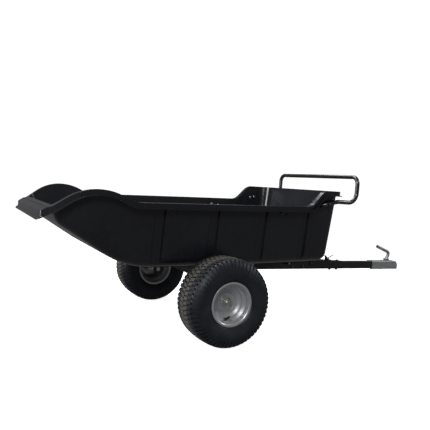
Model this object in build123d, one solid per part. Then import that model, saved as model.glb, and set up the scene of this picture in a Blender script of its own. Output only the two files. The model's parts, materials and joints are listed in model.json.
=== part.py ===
"""Tow-behind dump cart: a moulded tub on a tilting cradle, a steel chassis, two wheels, a ball coupler."""
from build123d import *
import math
import os

# Millimetres. +X runs forward to the hitch, +Y to the cart's left and +Z up from the ground.
# x is measured from the axle here; save() moves the origin to the middle of the footprint.

# ---- driving sizes: wheels
track = 1060.0
tyre_diameter = 457.0
tyre_width = 216.0
tread_width = 178.0
tyre_wall = 9.0
rim_width = 182.0
rim_flange_radius = 114.5
rim_bead_radius = 101.5
rim_well_radius = 86.0
rim_metal = 3.0
disc_offset = 27.0
disc_flat_radius = 72.0
hub_radius = 31.0
hub_inner = -20.0
hub_outer = 37.0
bearing_outer_radius = 26.0
bearing_bore_radius = 12.5
bearing_width = 15.0
valve_radius = 5.5
valve_length = 34.0

# ---- driving sizes: chassis
tube = 50.0
tube_wall = 3.0
beam_bottom = 296.0
beam_front = 1010.0
drawbar_front = 1668.0
sleeve_rear = 760.0
sleeve_front = 1240.0
axle_beam_half = 385.0
drop_plate = 10.0
drop_plate_top = 90.0
drop_plate_foot = 56.0
spindle_boss_radius = 17.0
spindle_thread_radius = 10.0
spindle_nut_height = 14.0
spindle_washer_radius = 20.0
washer_metal = 3.0
brace_width = 40.0
brace_metal = 8.0
brace_axle_y = 290.0
brace_beam_x = 300.0
pivot_x = -22.0
pivot_rod_radius = 7.0
pivot_ear_y = 150.0
pivot_ear_radius = 13.0
pivot_ear_metal = 8.0
top_plate_rear = 970.0
top_plate_front = 1236.0
top_plate_metal = 5.0
latch_x = 1112.0
latch_pin_radius = 4.0
latch_hub_radius = 7.0
latch_reach = 26.0
latch_released = 60.0
latch_locked_dip = 13.0
latch_width = 16.0
latch_ear = 4.0
latch_rod = (22.0, 52.0)
coupler_rear = 1525.0
coupler_nose = 1798.0
coupler_metal = 4.0
ball_radius = 25.0
lever_radius = 12.0
lever_metal = 2.5
lever_hub_radius = 11.5
lever_pin_x = 1690.0
lever_pin_radius = 5.0
clamp_pin_x = 1708.0
clamp_pin_z = 336.0
clamp_pin_radius = 4.0
clamp_half = 16.0

# ---- driving sizes: tub
rim_half_width = 487.0
rim_front_half_width = 440.0
rim_front_x = 862.0
rim_taper_x = 200.0
rim_rear_x = -919.0
rear_arc_x = -600.0
rear_arc_radius = 700.0
front_corner_radius = 110.0
rear_corner_radius = 45.0
tub_wall = 5.0
flange_width = 38.0
lip_width = 12.0
skirt_height = 30.0
draft = 5.5
rim_level = 720.0
floor_level = 385.0
tub_slope = 0.025
floor_corner_radius = 60.0
flute_width = 58.0
flute_depth = 11.0
flute_pitch = 305.0
flute_first_x = -340.0
flute_count = 4
tub_steep_end = 2.45
ramp_foot_x = -483.0
ramp_head = (-822.0, 584.0)
lip_crest = (-875.0, 659.0)
lip_fall = 0.6
hump = (-675.0, 800.0)
front_rise = (583.0, 676.0)
rim_front_level = 836.0

# ---- driving sizes: cradle and handle
rail = 30.0
rail_wall = 2.5
rail_y = 200.0
rail_rear = -335.0
rail_front = 700.0
tongue_width = 50.0
tongue_metal = 6.0
tongue_rear = 540.0
tongue_gap = 20.0
cross_width = 40.0
cross_rear_x = -300.0
cross_mid_x = 190.0
cross_front_x = 640.0
cross_front_width = 64.0
handle_radius = 13.0
handle_wall = 2.0
handle_x = 951.0
handle_height = 933.0
handle_leg_z = 775.0
handle_end = (672.0, 747.0)
handle_knee_x = 795.0
handle_bends = (120.0, 62.0, 45.0)

# ---- driving sizes: fastenings
wall_bolt_radius = 4.0
frame_bolt_radius = 5.0
cotter_radius = 2.0
nut_height = 6.0
frame_nut_height = 8.0
thread_stand = 4.0
floor_bolt_x = (-270.0, 60.0, 370.0, 640.0)
handle_bolt_x = (690.0, 722.0)
side_bolt_places = [(387.0, 687.0), (432.0, 681.0)]
tongue_bolt_y = 13.0
joint_cross_places = [(798.0, beam_bottom + 13), (884.0, beam_bottom + 17), (954.0, beam_bottom + 37)]
joint_through_x = [1142.0, 1205.0]
coupler_bolt_x = [1545.0, 1640.0]

# ---- clearances
running = 0.05
slip = 0.2
bolt_slip = 0.3
rest_gap = 0.3

# ---- worked out from the sizes above
far = 1000.0
axle_height = tyre_diameter / 2
beam_middle = beam_bottom + tube / 2
beam_top = beam_bottom + tube
outer_inset = flange_width + lip_width - tub_wall
inner_inset = flange_width + lip_width
taper_angle = math.degrees(math.atan2(rim_half_width - rim_front_half_width, rim_front_x - rim_taper_x))
slope_angle = math.degrees(math.atan(tub_slope))
plate_top = beam_top + top_plate_metal
tongue_bottom = plate_top + rest_gap
pivot_z = floor_level + tub_slope * pivot_x - rail / 2
rod_half = rail_y + rail / 2 + 14.0
bush_radius = pivot_rod_radius + 2.5
bolt_hole = frame_bolt_radius + bolt_slip
wall_hole = wall_bolt_radius + bolt_slip
tongue_bolt_places = [(cross_front_x, y) for y in (-tongue_bolt_y, tongue_bolt_y)]
cotter_y = track / 2 + hub_outer + washer_metal + spindle_nut_height - 3
latch_z = plate_top + 15.0
coupler_top = beam_top + bolt_slip + coupler_metal
coupler_half = tube / 2 + bolt_slip + coupler_metal
socket_radius = ball_radius + 1
ball_x = coupler_nose - socket_radius - coupler_metal
ball_z = coupler_top - socket_radius - coupler_metal
lever_pin_z = coupler_top + lever_hub_radius + 0.5
centre_shift = -(rim_rear_x + coupler_nose) / 2
floor_frame = Pos(0, 0, floor_level) * Rot(0, -slope_angle, 0)


def save(name, shape):
    """Write one node, moved so that the origin is the middle of the footprint on the ground."""
    export_step(Pos(centre_shift, 0, 0) * shape, f"parts/{name}.step")


def both_sides(shape):
    """A left-hand shape and its mirror image, as separate solids."""
    return Compound([*shape.solids(), *mirror(shape, Plane.XZ).solids()])


def rounded_face(corners, plane):
    """A closed face through (x, y, radius) corners, each turned by its own arc."""
    edges, starts, ends = [], [], []
    for i, (x, y, radius) in enumerate(corners):
        corner = Vector(x, y)
        back = (Vector(*corners[i - 1][:2]) - corner).normalized()
        ahead = (Vector(*corners[(i + 1) % len(corners)][:2]) - corner).normalized()
        half_turn = math.radians(180 - back.get_angle(ahead)) / 2
        reach = radius * math.tan(half_turn)
        starts.append(corner + back * reach)
        ends.append(corner + ahead * reach)
        if radius:
            middle = corner + (back + ahead).normalized() * (radius / math.cos(half_turn) - radius)
            edges.append(Edge.make_three_point_arc(starts[-1], middle, ends[-1]))
    edges += [Edge.make_line(ends[i - 1], starts[i]) for i in range(len(corners))]
    return plane * make_face(Wire(edges))


def square_tube(x0, x1, size, wall):
    """A square tube along X, centred on its own axis."""
    middle, length = (x0 + x1) / 2, x1 - x0
    return Pos(middle, 0, 0) * (Box(length, size, size) - Box(length, size - 2 * wall, size - 2 * wall))


def hexagon(across, height):
    return extrude(RegularPolygon(across / 2, 6, major_radius=False), height)


def bolt(radius, length):
    """A hexagon-headed bolt: the head stands on z = 0 and the shank hangs below it."""
    head = hexagon(3.2 * radius, 1.3 * radius)
    return head + Pos(0, 0, -length / 2) * Cylinder(radius, length)


def carriage_bolt(radius, length):
    """A domed bolt: the head stands on z = 0 and the shank hangs below it."""
    above = Pos(0, 0, 2 * radius) * Box(9 * radius, 9 * radius, 4 * radius)
    dome = Pos(0, 0, -1.6 * radius) * Sphere(2.6 * radius) & above
    return dome + Pos(0, 0, -length / 2) * Cylinder(radius, length)


def nut(radius, height):
    """A hexagon nut on top of its washer, standing on z = 0."""
    washer = Cylinder(2.1 * radius, 0.3 * radius, align=(Align.CENTER, Align.CENTER, Align.MIN))
    body = Pos(0, 0, 0.3 * radius) * hexagon(3.2 * radius, height)
    return washer + body - Cylinder(radius, 8 * height)


def cotter(radius, length):
    """A split pin along Y, with its eye at one end and two bent legs at the other."""
    shank = Rot(90, 0, 0) * Cylinder(radius, length)
    eye = Pos(0, -length / 2 - 2 * radius, 0) * Torus(2.2 * radius, 0.8 * radius)
    legs = Pos(0, length / 2 - 0.6 * radius, 0) * Box(6 * radius, 1.2 * radius, 1.2 * radius)
    return shank + eye + legs


# ---------------------------------------------------------------- tub


def plan_outline(rear_x, rear_radius):
    """The rim's outline from above: straight, drawn in to the front, curved in to the rear."""
    def arc_y(x):
        return rim_half_width - rear_arc_radius + math.sqrt(rear_arc_radius**2 - (x - rear_arc_x) ** 2)

    middle_x = (rear_x + rear_arc_x) / 2
    rear, bend = (rear_x, arc_y(rear_x)), (rear_arc_x, rim_half_width)
    shoulder, front = (rim_taper_x, rim_half_width), (rim_front_x, rim_front_half_width)
    half = [
        Edge.make_line((rear_x, 0), rear),
        Edge.make_three_point_arc(rear, (middle_x, arc_y(middle_x)), bend),
        Edge.make_line(bend, shoulder),
        Edge.make_line(shoulder, front),
        Edge.make_line(front, (rim_front_x, 0)),
    ]
    face = make_face(Wire(half + [edge.mirror(Plane.XZ) for edge in half]))
    for end_x, radius in ((rim_front_x, front_corner_radius), (rear_x, rear_radius)):
        if radius:
            corners = [v for v in face.vertices() if abs(v.X - end_x) < 0.01 and abs(v.Y) > 1]
            face = fillet(corners, radius)
    return face


def tub_side_face():
    """The tub seen from the side, below any rim: floor, swept-up pour ramp and steep end."""
    head_x, head_z = ramp_head
    steep_x = head_x - (far - head_z) / tub_steep_end
    corners = [
        (far, far, 0),
        (far, floor_level + tub_slope * far, 0),
        (ramp_foot_x, floor_level + tub_slope * ramp_foot_x, 450),
        (head_x, head_z, 70),
        (steep_x, far, 0),
    ]
    return rounded_face(corners, Plane.XZ)


def rim_side_face():
    """The region under the rim line: pour lip, hump, long straight and the raised front."""
    crest_x, crest_z = lip_crest
    rise_start, rise_end = front_rise
    straight_x = hump[0] + 185
    corners = [
        (-far, crest_z - lip_fall * (far + crest_x), 0),
        (crest_x, crest_z, 26),
        (crest_x + 13, crest_z + 1, 50),
        (*hump, 250),
        (straight_x, rim_level + tub_slope * straight_x - 4, 150),
        (rise_start, rim_level + tub_slope * rise_start, 75),
        (rise_end, rim_front_level - 3, 75),
        (far, rim_front_level + 3, 0),
        (far, -far, 0),
        (-far, -far, 0),
    ]
    return rounded_face(corners, Plane.XZ)


def rim_band(top, bottom):
    """The layer between two depths under the rim line, right across the tub."""
    region = rim_side_face()
    upper = offset(region, -top) if top else region
    return extrude(upper - offset(region, -bottom), far, both=True)


def plan_prism(inset):
    """The rim's outline, drawn in by an inset, as a tall block."""
    outline = plan_outline(rim_rear_x, rear_corner_radius)
    if inset:
        outline = offset(outline, -inset)
    return extrude(outline, far)


def trough(inset, corner_radius):
    """The drafted trough inside the rim, open far above it, with its bottom corners rounded."""
    grow = (far - rim_level) * math.tan(math.radians(draft)) - inset
    outline = offset(plan_outline(rim_rear_x - 200, 0), grow, kind=Kind.INTERSECTION)
    prism = extrude(Pos(0, 0, far) * outline, amount=far - floor_level / 2, dir=(0, 0, -1), taper=draft)
    side = tub_side_face()
    if inset > outer_inset:
        side = offset(side, outer_inset - inset)
    body = prism & extrude(side, far, both=True)
    top = body.bounding_box().max.Z

    def is_corner(edge):
        start, end = edge @ 0, edge @ 1
        across = abs(start.Y + end.Y) < 1 and abs(start.Y - end.Y) > 100
        low, high = sorted((start.Z, end.Z))
        on_steep_end = max(start.X, end.X) < rear_arc_x - 200 and low < top - 1
        return not across and (high < top - 1 or on_steep_end)

    return fillet([edge for edge in body.edges() if is_corner(edge)], corner_radius)


def wall_frame(x, z):
    """A frame on the tub's left outer wall: local X forward along it, local Z straight out of it."""
    turn = math.radians(taper_angle) if x > rim_taper_x else 0.0
    tilt = math.radians(draft)
    rim_y = rim_half_width - max(x - rim_taper_x, 0) * math.tan(turn)
    y = rim_y - (outer_inset - (z - rim_level) * math.tan(tilt)) / math.cos(turn)
    out = (math.sin(turn) * math.cos(tilt), math.cos(turn) * math.cos(tilt), -math.sin(tilt))
    return Plane((x, y, z), x_dir=(math.cos(turn), -math.sin(turn), 0), z_dir=out).location


def flutes(grow):
    """Upright grooves pressed into both side walls, grown by a wall's thickness for the inner skin."""
    groove = Polyline(
        (-flute_width / 2 - grow, 3 * flute_depth),
        (flute_width / 2 + grow, 3 * flute_depth),
        (flute_width / 2 + grow, 0),
        (flute_width / 2 - flute_depth / 2 + grow, -flute_depth - grow),
        (-flute_width / 2 + flute_depth / 2 - grow, -flute_depth - grow),
        (-flute_width / 2 - grow, 0),
        close=True,
    )
    top_drop = skirt_height + 6.0
    result = []
    for i in range(flute_count):
        x = flute_first_x + i * flute_pitch
        top = top_drop - tub_slope * x - grow
        length = rim_level - floor_level + 10
        blank = Pos(0, top + length, 0) * extrude(Plane.XZ * make_face(groove), length)
        result.append(wall_frame(x, rim_level) * blank)
    return [part for one in result for part in (one, mirror(one, Plane.XZ))]


def floor_holes():
    """The places on the floor, in the floor's own frame, where the cradle bolts pass."""
    return [(x, side * rail_y) for x in floor_bolt_x for side in (1, -1)]


def handle_bolt_places():
    """The two bolts of each handle leg, on the leg's centre line as (x, z)."""
    slope = (handle_leg_z - handle_end[1]) / (handle_knee_x - handle_end[0])
    return [(x, handle_end[1] + slope * (x - handle_end[0])) for x in handle_bolt_x]


def tub_shell():
    """The tub: fluted walls and floor, then the flange, skirt and lip that make its rolled rim."""
    shell = trough(outer_inset, floor_corner_radius)
    inner = trough(inner_inset, floor_corner_radius - tub_wall)
    hollow = inner
    for groove in flutes(0):
        shell -= groove
    for groove in flutes(tub_wall):
        hollow -= groove
    shell = (shell - hollow) & extrude(rim_side_face(), far, both=True)
    hole = Cylinder(wall_hole, 12 * tub_wall)
    for x, y in floor_holes():
        shell -= floor_frame * Pos(x, y, 0) * hole
    for x, z in handle_bolt_places() + side_bolt_places:
        place = wall_frame(x, z) * hole
        shell -= place
        shell -= mirror(place, Plane.XZ)
    flange = (plan_prism(lip_width) & rim_band(0, tub_wall)) - inner
    skirt = (plan_prism(lip_width) - plan_prism(lip_width + tub_wall)) & rim_band(0, skirt_height)
    lip = (plan_prism(0) - plan_prism(lip_width + tub_wall)) & rim_band(skirt_height - tub_wall, skirt_height)
    return shell + flange + skirt + lip


# ---------------------------------------------------------------- cradle and handle


def cradle_rail():
    """The left rail, a square tube under the floor, bored for the tipping rod and the floor bolts."""
    body = floor_frame * Pos(0, rail_y, -rail / 2) * square_tube(rail_rear, rail_front, rail, rail_wall)
    for x, y in floor_holes():
        if y > 0:
            body -= floor_frame * Pos(x, y, -rail / 2) * Cylinder(wall_hole, 2 * rail)
    return body - Pos(pivot_x, rail_y, pivot_z) * Rot(90, 0, 0) * Cylinder(bush_radius, 2 * rail)


def pivot_bushes():
    """Flanged nylon bushes, one through each rail, that turn on the tipping rod."""
    collar = 2.0
    sleeve = Cylinder(bush_radius, rail) + Pos(0, 0, -(rail + collar) / 2) * Cylinder(bush_radius + 3, collar)
    bush = sleeve - Cylinder(pivot_rod_radius + running, 2 * rail)
    return both_sides(Pos(pivot_x, rail_y, pivot_z) * Rot(-90, 0, 0) * bush)


def cross_member(x, width, bottom):
    """A box section between the rails, its top against the floor and its foot at the given height."""
    def section(inset):
        rear, front = x - width / 2 + inset, x + width / 2 - inset
        roof = [(at, floor_level + tub_slope * at - inset) for at in (front, rear)]
        foot = [(at, bottom(at) + inset) for at in (rear, front)]
        return make_face(Polyline(*foot, *roof, close=True))

    return extrude(Plane.XZ * (section(0) - section(rail_wall)), rail_y - rail / 2, both=True)


def rail_bottom(x):
    """The height of the rails' underside."""
    return floor_level + tub_slope * x - rail


def tongue_top(x):
    """The height of the tongue's upper face, the same all along."""
    return tongue_bottom + tongue_metal


def lock_tongue():
    """The flat bar that lies along the beam and ends under the latch."""
    tip = latch_x - tongue_gap
    bar = Box(tip - tongue_rear, tongue_width, tongue_metal)
    bar = Pos((tongue_rear + tip) / 2, 0, tongue_bottom + tongue_metal / 2) * bar
    ends = [edge for edge in bar.edges().filter_by(Axis.Z) if edge.center().X > tip - 1]
    bar = chamfer(ends, 12)
    for x, y in tongue_bolt_places:
        bar -= Pos(x, y, tongue_bottom) * Cylinder(wall_hole, 4 * tongue_metal)
    return bar


def cross_front():
    """The deeper front cross member, which carries the tongue."""
    body = cross_member(cross_front_x, cross_front_width, tongue_top)
    for x, y in tongue_bolt_places:
        body -= Pos(x, y, tongue_top(x)) * Cylinder(wall_hole, 4 * rail_wall)
    return body


def tongue_bolts():
    """Studs welded into the tongue, each with its nut inside the front cross member."""
    grip = tongue_metal + rail_wall
    length = grip + nut_height + thread_stand
    stud = Pos(0, 0, length / 2) * Cylinder(wall_bolt_radius, length)
    fixing = stud + Pos(0, 0, grip) * nut(wall_bolt_radius, nut_height)
    pair = [Pos(x, y, tongue_bottom) * fixing for x, y in tongue_bolt_places]
    return Compound([solid for one in pair for solid in one.solids()])


def floor_bolts():
    """Domed bolts down through the floor and the rails."""
    one = carriage_bolt(wall_bolt_radius, tub_wall + rail + nut_height + 6)
    return Compound([floor_frame * Pos(x, y, tub_wall) * one for x, y in floor_holes()])


def floor_nuts():
    """Nuts on washers under the rails."""
    one = Rot(180, 0, 0) * nut(wall_bolt_radius, nut_height)
    return Compound([floor_frame * Pos(x, y, -rail) * one for x, y in floor_holes()])


def handle_point(x, z):
    """A point of the left leg's centre line, which keeps the same distance from the wall all along."""
    return wall_frame(x, z) * Pos(0, 0, handle_radius + bolt_slip)


def handle_path():
    """The centre line from the left tab, along the side, up, across the front and back again."""
    tab = handle_point(*handle_end).position
    knee = handle_point(handle_knee_x, handle_leg_z).position
    corner = handle_point(handle_x, handle_leg_z).position
    top = Vector(corner.X, corner.Y, handle_height)
    left = [tab, knee, corner, top]
    right = [Vector(p.X, -p.Y, p.Z) for p in reversed(left)]
    return FilletPolyline(*left, *right, radius=[*handle_bends, *reversed(handle_bends)])


def tip_handle():
    """The bent tube handle, drilled where it bolts to the side walls."""
    path = handle_path()
    ring = Circle(handle_radius) - Circle(handle_radius - handle_wall)
    bar = sweep(path.location_at(0) * ring, path=path)
    hole = Cylinder(wall_hole, 6 * handle_radius)
    for x, z in handle_bolt_places():
        place = wall_frame(x, z) * hole
        bar -= place
        bar -= mirror(place, Plane.XZ)
    return bar


def handle_end_plugs():
    """Caps pushed into the open ends of the handle."""
    cap, depth = 4.0, 12.0
    end = handle_path().location_at(0)
    plug = Cylinder(handle_radius - handle_wall, depth)
    plug += Pos(0, 0, -(depth + cap) / 2) * Cylinder(handle_radius, cap)
    return both_sides(end * plug)


def handle_bolts():
    """Bolts through each leg and the tub's wall, heads outside."""
    head_stand = 2 * handle_radius + bolt_slip
    one = Pos(0, 0, head_stand) * bolt(wall_bolt_radius, head_stand + tub_wall + nut_height + thread_stand)
    return both_sides(Compound([wall_frame(x, z) * one for x, z in handle_bolt_places()]))


def side_bolts():
    """Bolts through the wall alone."""
    one = bolt(wall_bolt_radius, tub_wall + nut_height + thread_stand)
    return both_sides(Compound([wall_frame(x, z) * one for x, z in side_bolt_places]))


def wall_nuts():
    """Nuts on washers against the inside of the side walls."""
    one = Pos(0, 0, -tub_wall) * Rot(180, 0, 0) * nut(wall_bolt_radius, nut_height)
    return both_sides(Compound([wall_frame(x, z) * one for x, z in handle_bolt_places() + side_bolt_places]))


# ---------------------------------------------------------------- chassis


def beam_tube(x0, x1, size, wall):
    """A beam tube with every joint bolt's hole that falls on it."""
    body = Pos(0, 0, beam_middle) * square_tube(x0, x1, size, wall)
    for x, z in joint_cross_places:
        body -= Pos(x, 0, z) * Rot(90, 0, 0) * Cylinder(bolt_hole, 2 * tube)
    for x in joint_through_x + coupler_bolt_x:
        body -= Pos(x, 0, beam_middle) * Cylinder(bolt_hole, 2 * tube)
    return body


def joint_sleeve():
    """The inner tube that joins the drawbar to the main beam."""
    size = tube - 2 * tube_wall - 2 * slip
    return beam_tube(sleeve_rear, sleeve_front, size, tube_wall)


def joint_top_plate():
    """The plate on top of the joint, under the latch."""
    length = top_plate_front - top_plate_rear
    plate = Pos((top_plate_front + top_plate_rear) / 2, 0, beam_top + top_plate_metal / 2)
    plate = plate * Box(length, tube - 4, top_plate_metal)
    for x in joint_through_x:
        plate -= Pos(x, 0, beam_top) * Cylinder(bolt_hole, 4 * top_plate_metal)
    return plate


def joint_cross_bolts():
    """Bolts across the main beam, heads on the right."""
    one = Rot(90, 0, 0) * bolt(frame_bolt_radius, tube + frame_nut_height + thread_stand)
    return Compound([Pos(x, -tube / 2, z) * one for x, z in joint_cross_places])


def joint_through_bolts():
    """Bolts down through the top plate, the drawbar and the sleeve."""
    one = bolt(frame_bolt_radius, top_plate_metal + tube + frame_nut_height + thread_stand)
    return Compound([Pos(x, 0, plate_top) * one for x in joint_through_x])


def joint_nuts():
    """Nuts on washers for the bolts of the joint."""
    one = nut(frame_bolt_radius, frame_nut_height)
    across = [Pos(x, tube / 2, z) * Rot(-90, 0, 0) * one for x, z in joint_cross_places]
    under = [Pos(x, 0, beam_bottom) * Rot(180, 0, 0) * one for x in joint_through_x]
    return Compound(across + under)


def axle_beam():
    """The cross beam above the wheels' axis."""
    return Pos(0, 0, beam_middle) * Rot(0, 0, 90) * square_tube(-axle_beam_half, axle_beam_half, tube, 4)


def brace():
    """The left flat brace from the axle beam's front face to the main beam's side."""
    half = tube / 2
    run_x, run_y = brace_beam_x - half, brace_axle_y - half
    along_axle = brace_width * math.hypot(run_x, run_y) / run_x
    along_beam = brace_width * math.hypot(run_x, run_y) / run_y
    outline = make_face(Polyline(
        (half, brace_axle_y - along_axle / 2),
        (half, brace_axle_y + along_axle / 2),
        (brace_beam_x + along_beam / 2, half),
        (brace_beam_x - along_beam / 2, half),
        close=True,
    ))
    return extrude(Pos(0, 0, beam_middle - brace_metal / 2) * outline, brace_metal)


def drop_plate_left():
    """The plate that closes the axle beam's end and carries the stub axle below it."""
    foot = drop_plate_foot / 2
    outline = rounded_face(
        [(-drop_plate_top / 2, beam_top, 4), (drop_plate_top / 2, beam_top, 4),
         (drop_plate_top / 2, beam_bottom - 10, 20), (foot, axle_height - foot, foot - 4),
         (-foot, axle_height - foot, foot - 4), (-drop_plate_top / 2, beam_bottom - 10, 20)],
        Plane.XZ)
    body = Pos(0, axle_beam_half + drop_plate, 0) * extrude(outline, drop_plate)
    bore = Rot(90, 0, 0) * Cylinder(spindle_boss_radius - 4, 4 * drop_plate)
    return body - Pos(0, axle_beam_half, axle_height) * bore


def stub_axle_left():
    """The stub axle: welded through the drop plate, a shoulder, the bearing seat and the thread."""
    wheel_y = track / 2
    shoulder = wheel_y + hub_inner - rest_gap
    seat_end = wheel_y + hub_outer - rest_gap
    thread_end = wheel_y + hub_outer + washer_metal + spindle_nut_height + 4
    pieces = [
        (axle_beam_half, axle_beam_half + drop_plate, spindle_boss_radius - 4),
        (axle_beam_half + drop_plate, shoulder, spindle_boss_radius),
        (shoulder, seat_end, bearing_bore_radius - running),
        (seat_end, thread_end, spindle_thread_radius),
    ]
    body = None
    for start, end, radius in pieces:
        step = Pos(0, (start + end) / 2, axle_height) * Rot(90, 0, 0) * Cylinder(radius, end - start)
        body = step if body is None else body + step
    return body - cotter_hole()


def cotter_hole():
    """The cross hole in the left stub axle's thread."""
    return Pos(0, cotter_y, axle_height) * Cylinder(cotter_radius + slip, 6 * spindle_thread_radius)


def spindle_washers():
    """Plain washers between the hubs and the castle nuts."""
    ring = Cylinder(spindle_washer_radius, washer_metal) - Cylinder(spindle_thread_radius, 2 * washer_metal)
    face = track / 2 + hub_outer + rest_gap + washer_metal / 2
    return both_sides(Pos(0, face, axle_height) * Rot(90, 0, 0) * ring)


def spindle_nuts():
    """Castle nuts: hexagons with six slots across their crowns."""
    face = track / 2 + hub_outer + rest_gap + washer_metal
    across, slot, slot_depth = 30.0, 5.0, 5.5
    body = hexagon(across, spindle_nut_height - slot_depth)
    body += Pos(0, 0, spindle_nut_height / 2) * Cylinder(0.45 * across, spindle_nut_height)
    for turn in (0, 60, 120):
        body -= Rot(0, 0, turn) * Pos(0, 0, spindle_nut_height) * Box(2 * across, slot, 2 * slot_depth)
    body -= Cylinder(spindle_thread_radius, 6 * spindle_nut_height)
    return both_sides(Pos(0, face, axle_height) * Rot(-90, 0, 0) * Rot(0, 0, 90) * body)


def spindle_cotters():
    """Split pins through the castle nuts."""
    return both_sides(Pos(0, cotter_y, axle_height) * Rot(90, 0, 0) * cotter(cotter_radius, 32))


def pivot_ears():
    """Ears that stand on the axle beam and hold the tipping rod."""
    half = tube / 2
    foot = make_face(Polyline((-half, beam_top), (half, beam_top), (pivot_x + 12, pivot_z + 4),
                              (pivot_x - 11, pivot_z + 4), (pivot_x - 11, pivot_z - 5), close=True))
    ear = extrude(Plane.XZ * foot, pivot_ear_metal / 2, both=True)
    ear += Pos(pivot_x, 0, pivot_z) * Rot(90, 0, 0) * Cylinder(pivot_ear_radius, pivot_ear_metal)
    ear -= Pos(pivot_x, 0, pivot_z) * Rot(90, 0, 0) * Cylinder(pivot_rod_radius + slip, 4 * pivot_ear_metal)
    return both_sides(Pos(0, pivot_ear_y, 0) * ear)


def pivot_rod():
    """The rod the cradle tips on."""
    rod = Pos(pivot_x, 0, pivot_z) * Rot(90, 0, 0) * Cylinder(pivot_rod_radius, 2 * rod_half)
    hole = Pos(pivot_x, rod_half - 6, pivot_z) * Cylinder(cotter_radius + slip, 4 * pivot_rod_radius)
    return rod - hole - mirror(hole, Plane.XZ)


def rod_cotters():
    """Split pins at the ends of the tipping rod."""
    return both_sides(Pos(pivot_x, rod_half - 6, pivot_z) * Rot(90, 0, 0) * cotter(cotter_radius, 20))


def rest_pad():
    """The rubber pad on the beam that the front of the cradle sits on."""
    pad = Box(cross_front_width + 16, tube - 4, top_plate_metal)
    return Pos(cross_front_x, 0, beam_top + top_plate_metal / 2) * pad


# ---------------------------------------------------------------- dump latch


def latch_bracket():
    """Two ears and a foot, straddling the latch lever."""
    reach = latch_width / 2 + slip + latch_ear
    outline = rounded_face([(latch_x - 11, plate_top, 0), (latch_x + 11, plate_top, 0),
                            (latch_x + 9, latch_z + 8, 7), (latch_x - 9, latch_z + 8, 7)], Plane.XZ)
    ear = Pos(0, reach, 0) * extrude(outline, latch_ear)
    foot = Pos(latch_x, 0, plate_top + 1.5) * Box(22, 2 * reach, 3)
    pin_hole = Pos(latch_x, 0, latch_z) * Rot(90, 0, 0) * Cylinder(latch_pin_radius + running, 100)
    return ear + mirror(ear, Plane.XZ) + foot - pin_hole


def latch_pin():
    """The headed pin the latch lever turns on."""
    length = latch_width + 2 * (slip + latch_ear) + 14
    pin = Pos(latch_x, 0, latch_z) * Rot(90, 0, 0) * Cylinder(latch_pin_radius, length)
    head = Pos(latch_x, -length / 2 - 1, latch_z) * Rot(90, 0, 0) * Cylinder(latch_pin_radius + 2, 2)
    return pin + head


def latch_lever():
    """The hook that holds the tongue down, stored swung clear, and its thumb rod."""
    def turned(angle, length):
        return length * math.cos(math.radians(angle)), length * math.sin(math.radians(angle))

    hook_angle = 180 + latch_locked_dip - latch_released
    hub = Cylinder(latch_hub_radius, latch_width)
    arm = Rot(0, 0, hook_angle) * Pos(latch_reach / 2, 0, 0) * Box(latch_reach, 7, latch_width)
    lever = Rot(90, 0, 0) * (hub + arm)
    dx, dz = turned(*latch_rod)
    rod = Solid.make_cylinder(3, latch_rod[1], Plane((0, 0, 0), z_dir=(dx, 0, dz)))
    knob = Pos(dx, 0, dz) * Sphere(4.5)
    bore = Rot(90, 0, 0) * Cylinder(latch_pin_radius + running, 100)
    return Pos(latch_x, 0, latch_z) * (lever + rod + knob - bore)


def latch_spring():
    """A torsion coil on the pin's free end, outside the bracket."""
    wire = 0.8
    turns_length = 4.5
    path = Helix(pitch=2.2, height=turns_length, radius=latch_pin_radius + 1.4)
    coil = sweep(Plane(path @ 0, z_dir=path % 0) * Circle(wire), path=path, is_frenet=True)
    start = latch_width / 2 + slip + latch_ear + wire + slip
    return Pos(latch_x, start, latch_z) * Rot(-90, 0, 0) * coil


# ---------------------------------------------------------------- coupler


def coupler_shape(inset, foot):
    """The coupler's outer form, or its hollow when inset by the metal's thickness."""
    half, roof = coupler_half - inset, coupler_top - inset
    radius = socket_radius + coupler_metal - inset
    channel = Box(ball_x - coupler_rear, 2 * half, roof - foot)
    channel = Pos((coupler_rear + ball_x) / 2, 0, (roof + foot) / 2) * channel
    nose = Pos(ball_x, 0, (ball_z + foot) / 2) * Cylinder(radius, ball_z - foot)
    return channel + Pos(ball_x, 0, ball_z) * Sphere(radius) + nose


def coupler_body():
    """A pressed channel over the drawbar with a domed nose, open below for the ball."""
    body = coupler_shape(0, beam_bottom - 5)
    top_edges = [e for e in body.edges().filter_by(Axis.X) if e.center().Z > coupler_top - 1]
    body = fillet(top_edges, 3)
    hollow = coupler_shape(coupler_metal, beam_bottom - 20)
    mouth = Box(40, 2 * (coupler_half - coupler_metal), 2 * (tube + bolt_slip))
    hollow += Pos(coupler_rear, 0, beam_bottom) * mouth
    body -= hollow
    outline = rounded_face([(-16, coupler_top - 1, 0), (16, coupler_top - 1, 0),
                            (9, lever_pin_z + 9, 8), (-9, lever_pin_z + 9, 8)], Plane.XZ)
    ear = Pos(lever_pin_x, lever_radius + slip + coupler_metal, 0) * extrude(outline, coupler_metal)
    body += ear
    body += mirror(ear, Plane.XZ)
    for x in coupler_bolt_x:
        body -= Pos(x, 0, coupler_top) * Cylinder(bolt_hole, 4 * coupler_metal)
    body -= Pos(lever_pin_x, 0, lever_pin_z) * Rot(90, 0, 0) * Cylinder(lever_pin_radius + running, 4 * tube)
    return body - Pos(clamp_pin_x, 0, clamp_pin_z) * Rot(90, 0, 0) * Cylinder(clamp_pin_radius, 4 * tube)


def coupler_bolts():
    """Bolts down through the coupler and the drawbar."""
    one = bolt(frame_bolt_radius, coupler_top - beam_bottom + frame_nut_height + thread_stand)
    return Compound([Pos(x, 0, coupler_top) * one for x in coupler_bolt_x])


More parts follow.
